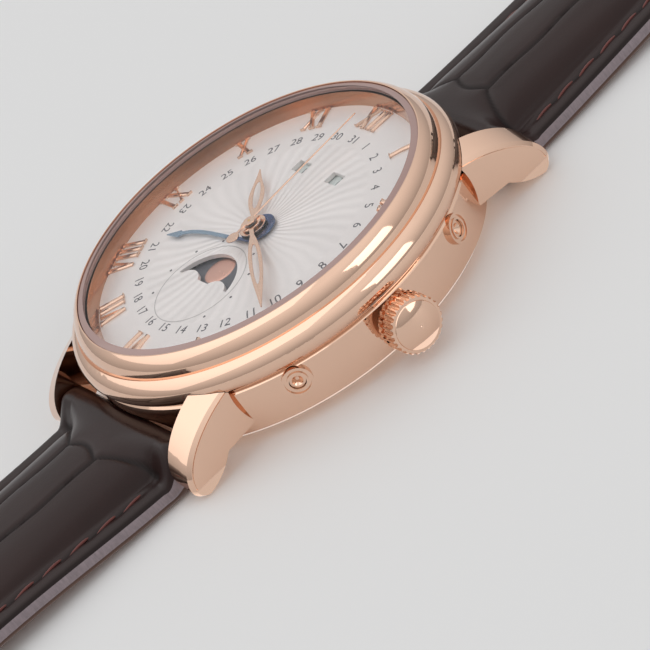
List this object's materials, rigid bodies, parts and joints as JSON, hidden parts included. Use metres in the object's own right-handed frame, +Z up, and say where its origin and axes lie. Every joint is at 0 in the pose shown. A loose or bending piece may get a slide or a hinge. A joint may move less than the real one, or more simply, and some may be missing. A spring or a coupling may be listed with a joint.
{
  "type": "moon phase wristwatch",
  "caption": "Round wristwatch in rose gold with a moon window, calendar windows, openworked hands, a fluted crown and a padded alligator strap with a pin buckle.",
  "frame": {"origin": "on the resting plane of the case back, under the middle of the dial", "axes": "+Z up out of the dial, +Y towards 12 o'clock, +X towards the crown"},
  "size_m": [0.0434, 0.2441, 0.0109],
  "materials": {
    "rose_gold": "polished rose gold",
    "rose_gold_satin": "satin rose gold",
    "sapphire": "clear polished",
    "gasket": "matt",
    "steel": "fine brushed",
    "polished_steel": "polished",
    "nickel_plate": "nickel plated, pearled",
    "gear_brass": "gilt",
    "ruby": "polished",
    "silvered_dial": "silvered, engraved rays",
    "calendar_disc": "matt print ground",
    "moon_disc": "matt dark sky",
    "blued_steel": "blued",
    "alligator": "glossy dark brown, scaled",
    "tungsten": "brushed heavy metal"
  },
  "bodies": {
    "case": {"case_middle": "rose_gold", "bezel": "rose_gold", "flange_ring": "rose_gold_satin", "crystal": "sapphire", "crystal_gasket": "gasket", "case_back": "rose_gold", "back_crystal": "sapphire", "case_back_gasket": "gasket", "crown_tube": "steel", "movement_ring": "nickel_plate", "corrector_collars": "rose_gold", "corrector_springs": "steel", "main_plate": "nickel_plate", "train_bridge": "nickel_plate", "balance_cock": "nickel_plate", "jewels": "ruby", "movement_screws": "polished_steel", "dial": "silvered_dial", "hour_numerals": "rose_gold", "strap_spring_bars": "steel"},
    "crown_slide": {"crown_gasket": "gasket"},
    "crown_and_stem": {"crown": "rose_gold", "winding_stem": "steel"},
    "winding_pinion": {"winding_pinion": "steel"},
    "sliding_pinion": {"sliding_pinion": "steel"},
    "crown_wheel": {"crown_wheel": "steel"},
    "barrel_arbor": {"barrel_arbor": "steel"},
    "seconds": {"fourth_wheel": "gear_brass", "seconds_hand": "rose_gold"},
    "third_wheel": {"third_wheel": "gear_brass"},
    "centre_wheel": {"centre_wheel": "gear_brass"},
    "barrel": {"barrel": "gear_brass", "mainspring": "steel"},
    "escape_wheel": {"escape_wheel": "polished_steel"},
    "pallet_fork": {"pallet_fork": "polished_steel"},
    "balance": {"balance_wheel": "gear_brass", "hairspring": "blued_steel"},
    "rotor": {"rotor": "tungsten"},
    "minute": {"cannon_pinion": "steel", "minute_hand": "rose_gold"},
    "hour": {"hour_wheel": "gear_brass", "hour_hand": "rose_gold"},
    "minute_wheel": {"minute_wheel": "gear_brass"},
    "date": {"date_wheel": "gear_brass", "date_hand": "blued_steel"},
    "moon_disc": {"moon_disc": "moon_disc"},
    "day_disc": {"day_disc": "calendar_disc"},
    "month_disc": {"month_disc": "calendar_disc"},
    "month_corrector": {"month_corrector": "rose_gold"},
    "date_corrector": {"date_corrector": "rose_gold"},
    "day_corrector": {"day_corrector": "rose_gold"},
    "moon_corrector": {"moon_corrector": "rose_gold"},
    "buckle_half": {"buckle_half_strap": "alligator", "fixed_keeper": "alligator", "buckle_bar": "steel"},
    "hole_half": {"hole_half_strap": "alligator"},
    "buckle_frame": {"buckle_frame": "rose_gold"},
    "buckle_tongue": {"buckle_tongue": "rose_gold"},
    "free_keeper": {"free_keeper": "alligator"}
  },
  "joints": [
    {"name": "crown_pull", "type": "slide", "parent": "case", "child": "crown_slide", "axis": [1, 0, 0], "range_m": [0, 0.0009]},
    {"name": "crown_turn", "type": "hinge", "parent": "crown_slide", "child": "crown_and_stem", "pos_m": [0, 0, 0.00355], "axis": [1, 0, 0], "continuous": true},
    {"name": "winding_pinion_turn", "type": "hinge", "parent": "case", "child": "winding_pinion", "pos_m": [0.0084, 0, 0.00355], "axis": [1, 0, 0], "continuous": true},
    {"name": "sliding_pinion_turn", "type": "hinge", "parent": "case", "child": "sliding_pinion", "pos_m": [0.0064, 0, 0.00355], "axis": [1, 0, 0], "continuous": true},
    {"name": "crown_wheel_turn", "type": "hinge", "parent": "case", "child": "crown_wheel", "pos_m": [0.0061, 0, 0.0019], "axis": [0, 0, 1], "continuous": true},
    {"name": "barrel_arbor_turn", "type": "hinge", "parent": "case", "child": "barrel_arbor", "pos_m": [0.00247, 0.0053, 0.0019], "axis": [0, 0, 1], "continuous": true},
    {"name": "seconds_hand_turn", "type": "hinge", "parent": "case", "child": "seconds", "pos_m": [0, 0, 0.0092], "axis": [0, 0, -1], "continuous": true},
    {"name": "third_wheel_turn", "type": "hinge", "parent": "case", "child": "third_wheel", "pos_m": [0.00246, -0.00293, 0.0031], "axis": [0, 0, -1], "continuous": true},
    {"name": "centre_wheel_turn", "type": "hinge", "parent": "case", "child": "centre_wheel", "pos_m": [0, 0, 0.00335], "axis": [0, 0, -1], "continuous": true},
    {"name": "barrel_turn", "type": "hinge", "parent": "case", "child": "barrel", "pos_m": [0.00247, 0.0053, 0.0047], "axis": [0, 0, -1], "continuous": true},
    {"name": "escape_wheel_turn", "type": "hinge", "parent": "case", "child": "escape_wheel", "pos_m": [-0.0026, -0.00219, 0.0036], "axis": [0, 0, -1], "continuous": true},
    {"name": "pallet_swing", "type": "hinge", "parent": "case", "child": "pallet_fork", "pos_m": [-0.00348, -0.00458, 0.0036], "axis": [0, 0, -1], "range_deg": [-5, 5]},
    {"name": "balance_swing", "type": "hinge", "parent": "case", "child": "balance", "pos_m": [-0.0047, -0.00796, 0.0033], "axis": [0, 0, -1], "range_deg": [-270, 270]},
    {"name": "rotor_turn", "type": "hinge", "parent": "case", "child": "rotor", "pos_m": [0, 0, 0.0015], "axis": [0, 0, -1], "continuous": true},
    {"name": "minute_hand_turn", "type": "hinge", "parent": "case", "child": "minute", "pos_m": [0, 0, 0.0089], "axis": [0, 0, -1], "continuous": true},
    {"name": "hour_hand_turn", "type": "hinge", "parent": "case", "child": "hour", "pos_m": [0, 0, 0.0086], "axis": [0, 0, -1], "continuous": true},
    {"name": "minute_wheel_turn", "type": "hinge", "parent": "case", "child": "minute_wheel", "pos_m": [0.003, 0, 0.0056], "axis": [0, 0, -1], "continuous": true},
    {"name": "date_hand_turn", "type": "hinge", "parent": "case", "child": "date", "pos_m": [0, 0, 0.0083], "axis": [0, 0, -1], "continuous": true},
    {"name": "moon_disc_turn", "type": "hinge", "parent": "case", "child": "moon_disc", "pos_m": [0, -0.007, 0.0073], "axis": [0, 0, -1], "continuous": true},
    {"name": "day_disc_turn", "type": "hinge", "parent": "case", "child": "day_disc", "pos_m": [-0.0057, 0.007, 0.0073], "axis": [0, 0, -1], "continuous": true},
    {"name": "month_disc_turn", "type": "hinge", "parent": "case", "child": "month_disc", "pos_m": [0.0057, 0.007, 0.0073], "axis": [0, 0, -1], "continuous": true},
    {"name": "month_corrector_press", "type": "slide", "parent": "case", "child": "month_corrector", "axis": [-0.8678, -0.497, 0], "range_m": [0, 0.0006], "stiffness_N_per_m": 300, "springref_m": -0.0004},
    {"name": "date_corrector_press", "type": "slide", "parent": "case", "child": "date_corrector", "axis": [-0.8678, 0.497, 0], "range_m": [0, 0.0006], "stiffness_N_per_m": 300, "springref_m": -0.0004},
    {"name": "day_corrector_press", "type": "slide", "parent": "case", "child": "day_corrector", "axis": [0.8678, -0.497, 0], "range_m": [0, 0.0006], "stiffness_N_per_m": 300, "springref_m": -0.0004},
    {"name": "moon_corrector_press", "type": "slide", "parent": "case", "child": "moon_corrector", "axis": [0.8678, 0.497, 0], "range_m": [0, 0.0006], "stiffness_N_per_m": 300, "springref_m": -0.0004},
    {"name": "buckle_half_swing", "type": "hinge", "parent": "case", "child": "buckle_half", "pos_m": [0, 0.0207, 0.0023], "axis": [1, 0, 0], "range_deg": [-85, 30]},
    {"name": "hole_half_swing", "type": "hinge", "parent": "case", "child": "hole_half", "pos_m": [0, -0.0207, 0.0023], "axis": [1, 0, 0], "range_deg": [-30, 85]},
    {"name": "buckle_frame_swing", "type": "hinge", "parent": "buckle_half", "child": "buckle_frame", "pos_m": [0, 0.0957, 0.0025], "axis": [1, 0, 0], "range_deg": [-90, 30]},
    {"name": "buckle_tongue_lift", "type": "hinge", "parent": "buckle_frame", "child": "buckle_tongue", "pos_m": [0, 0.0957, 0.0025], "axis": [1, 0, 0], "range_deg": [0, 90]},
    {"name": "free_keeper_slide", "type": "slide", "parent": "buckle_half", "child": "free_keeper", "axis": [0, 1, 0], "range_m": [-0.006, 0.012]}
  ],
  "couplings": [
    {"joint": "winding_pinion_turn", "follows": "crown_turn", "ratio": 1},
    {"joint": "sliding_pinion_turn", "follows": "crown_turn", "ratio": 1},
    {"joint": "crown_wheel_turn", "follows": "crown_turn", "ratio": 0.5625},
    {"joint": "barrel_arbor_turn", "follows": "crown_turn", "ratio": -0.32143},
    {"joint": "third_wheel_turn", "follows": "seconds_hand_turn", "ratio": -0.125},
    {"joint": "centre_wheel_turn", "follows": "seconds_hand_turn", "ratio": 0.016667},
    {"joint": "barrel_turn", "follows": "seconds_hand_turn", "ratio": -0.0020833},
    {"joint": "escape_wheel_turn", "follows": "seconds_hand_turn", "ratio": -9},
    {"joint": "hour_hand_turn", "follows": "minute_hand_turn", "ratio": 0.083333},
    {"joint": "minute_wheel_turn", "follows": "minute_hand_turn", "ratio": -0.33333}
  ]
}
